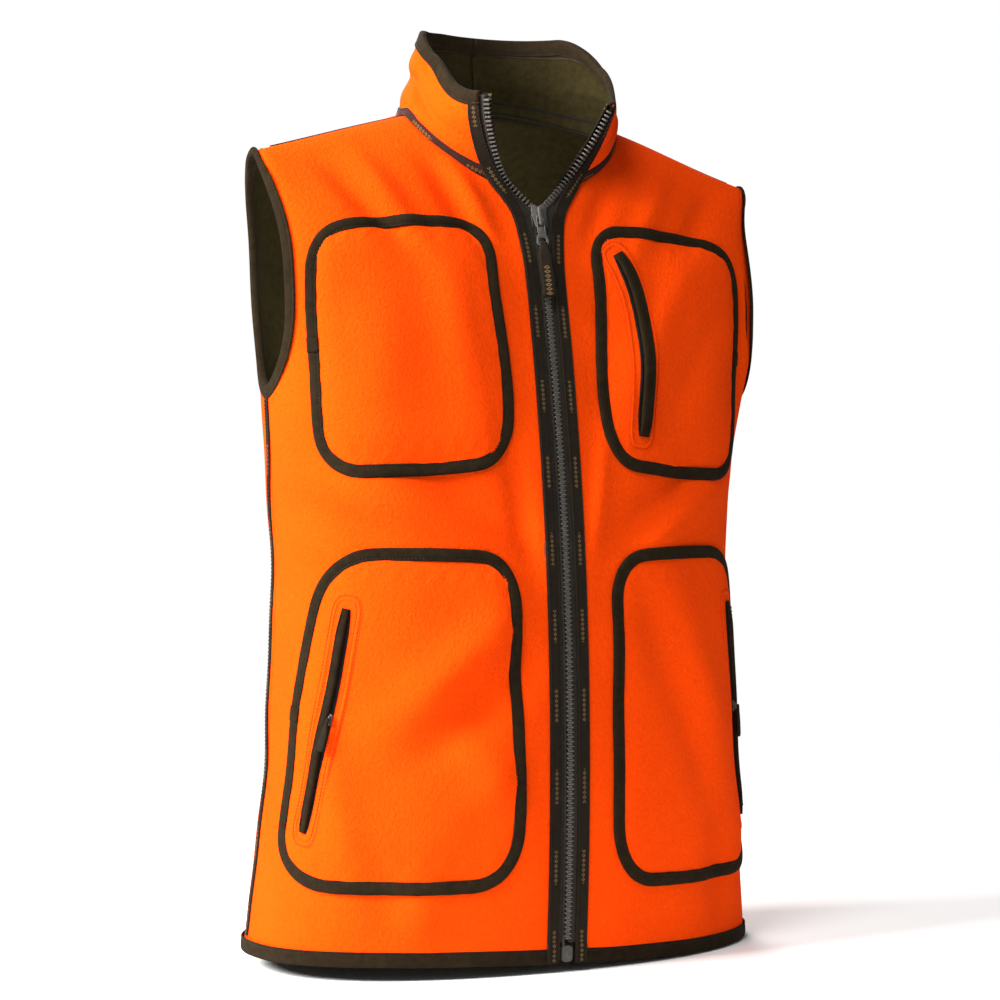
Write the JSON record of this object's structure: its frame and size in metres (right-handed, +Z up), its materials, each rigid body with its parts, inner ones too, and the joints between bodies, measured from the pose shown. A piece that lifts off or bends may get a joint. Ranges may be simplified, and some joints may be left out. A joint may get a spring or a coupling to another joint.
{
  "type": "zip-front fleece vest",
  "caption": "Sleeveless zip-front fleece vest in signal orange, stand collar, bound patch pockets, dark binding at armholes, collar and hem.",
  "frame": {"origin": "centre of the hem opening, on the plane the hem stands on", "axes": "+Z up, -Y the side with the zip, +X the wearer's left"},
  "size_m": [0.4498, 0.2501, 0.7519],
  "materials": {
    "fleece": "brushed knit fleece",
    "lining": "smooth knit lining",
    "binding": "folded stretch binding",
    "zip_tape": "woven polyester tape",
    "zip_teeth": "moulded plastic",
    "zip_metal": "dull painted zinc"
  },
  "bodies": {
    "torso": {"back_outer": "fleece", "back_lining": "lining", "side_outer_right": "fleece", "side_outer_left": "fleece", "side_lining_right": "lining", "side_lining_left": "lining", "fold_outer_right": "fleece", "fold_outer_left": "fleece", "fold_lining_right": "lining", "fold_lining_left": "lining", "collar_outer": "fleece", "collar_lining": "lining", "collar_binding": "binding", "neck_tape": "binding", "armhole_binding_right": "binding", "armhole_binding_left": "binding", "side_tape_right": "binding", "side_tape_left": "binding", "hem_binding_back": "binding", "hem_binding_fold_right": "binding", "hem_binding_fold_left": "binding", "chest_patch_right": "fleece", "chest_patch_left": "fleece", "chest_patch_binding_right": "binding", "chest_patch_binding_left": "binding", "hand_patch_right": "fleece", "hand_patch_left": "fleece", "hand_patch_binding_right": "binding", "hand_patch_binding_left": "binding", "hand_pocket_piping_right": "binding", "hand_pocket_piping_left": "binding", "hand_pocket_coil_right": "zip_tape", "hand_pocket_coil_left": "zip_tape", "zip_collar_right": "zip_tape", "zip_collar_left": "zip_tape"},
    "front_right": {"front_edge_right": "fleece", "front_edge_lining_right": "lining", "hem_binding_front_right": "binding", "zip_facing_right": "binding", "zip_tape_right": "zip_tape", "zip_teeth_right": "zip_teeth", "zip_pin": "zip_metal"},
    "front_left": {"front_edge_left": "fleece", "front_edge_lining_left": "lining", "hem_binding_front_left": "binding", "chest_pocket_piping": "binding", "chest_pocket_coil": "zip_tape", "chest_pocket_slider": "zip_metal", "chest_pocket_bag": "lining", "zip_facing_left": "binding", "zip_tape_left": "zip_tape", "zip_teeth_left": "zip_teeth", "zip_retainer": "zip_metal"},
    "zip_slider": {"zip_slider": "zip_metal"},
    "zip_puller": {"zip_puller": "zip_metal"},
    "pull_tab": {"pull_tab": "zip_tape"},
    "hand_slider_right": {"hand_pocket_slider_right": "zip_metal"},
    "hand_slider_left": {"hand_pocket_slider_left": "zip_metal"},
    "hand_puller_right": {"hand_pocket_puller_right": "zip_tape"},
    "hand_puller_left": {"hand_pocket_puller_left": "zip_tape"}
  },
  "joints": [
    {"name": "zip_slider_travel", "type": "hinge", "parent": "front_left", "child": "zip_slider", "pos_m": [0, 1.726, 0.15], "axis": [1, 0, 0], "range_deg": [0, 17.12], "deforming": ["zip_teeth_right", "zip_teeth_left", "zip_tape_right", "zip_tape_left"]},
    {"name": "front_right_open", "type": "hinge", "parent": "torso", "child": "front_right", "pos_m": [-0.185, -0.088, 0], "axis": [-0.1599, -0.0374, -0.9864], "range_deg": [0, 40], "deforming": ["fold_outer_right", "fold_lining_right", "hem_binding_fold_right", "chest_patch_right", "chest_patch_binding_right", "hand_patch_right", "hand_patch_binding_right", "zip_collar_right"]},
    {"name": "front_left_open", "type": "hinge", "parent": "torso", "child": "front_left", "pos_m": [0.185, -0.088, 0], "axis": [-0.1599, 0.0374, 0.9864], "range_deg": [0, 40], "deforming": ["fold_outer_left", "fold_lining_left", "hem_binding_fold_left", "chest_patch_left", "chest_patch_binding_left", "hand_patch_left", "hand_patch_binding_left", "zip_collar_left"]},
    {"name": "zip_puller_swing", "type": "hinge", "parent": "zip_slider", "child": "zip_puller", "pos_m": [0, -0.08069, 0.57738], "axis": [-1, 0, 0], "range_deg": [0, 110]},
    {"name": "pull_tab_swing", "type": "hinge", "parent": "zip_puller", "child": "pull_tab", "pos_m": [0, -0.08618, 0.55412], "axis": [-1, 0, 0], "range_deg": [0, 40]},
    {"name": "hand_slider_left_travel", "type": "hinge", "parent": "torso", "child": "hand_slider_left", "pos_m": [1.53839, 1.03306, 0.56208], "axis": [0.6316, -0.7753, -0.0031], "range_deg": [-2.33, 2.42]},
    {"name": "hand_puller_left_swing", "type": "hinge", "parent": "hand_slider_left", "child": "hand_puller_left", "pos_m": [0.18226, -0.07404, 0.18606], "axis": [-0.6443, -0.7381, -0.2001], "range_deg": [0, 100]},
    {"name": "hand_slider_right_travel", "type": "hinge", "parent": "torso", "child": "hand_slider_right", "pos_m": [-1.53839, 1.03306, 0.56208], "axis": [0.6316, 0.7753, 0.0031], "range_deg": [-2.33, 2.42]},
    {"name": "hand_puller_right_swing", "type": "hinge", "parent": "hand_slider_right", "child": "hand_puller_right", "pos_m": [-0.18226, -0.07404, 0.18606], "axis": [-0.6443, 0.7381, 0.2001], "range_deg": [0, 100]}
  ],
  "couplings": [
    {"joint": "front_right_open", "follows": "zip_slider_travel", "ratio": 2.3357},
    {"joint": "front_left_open", "follows": "zip_slider_travel", "ratio": 2.3357}
  ]
}
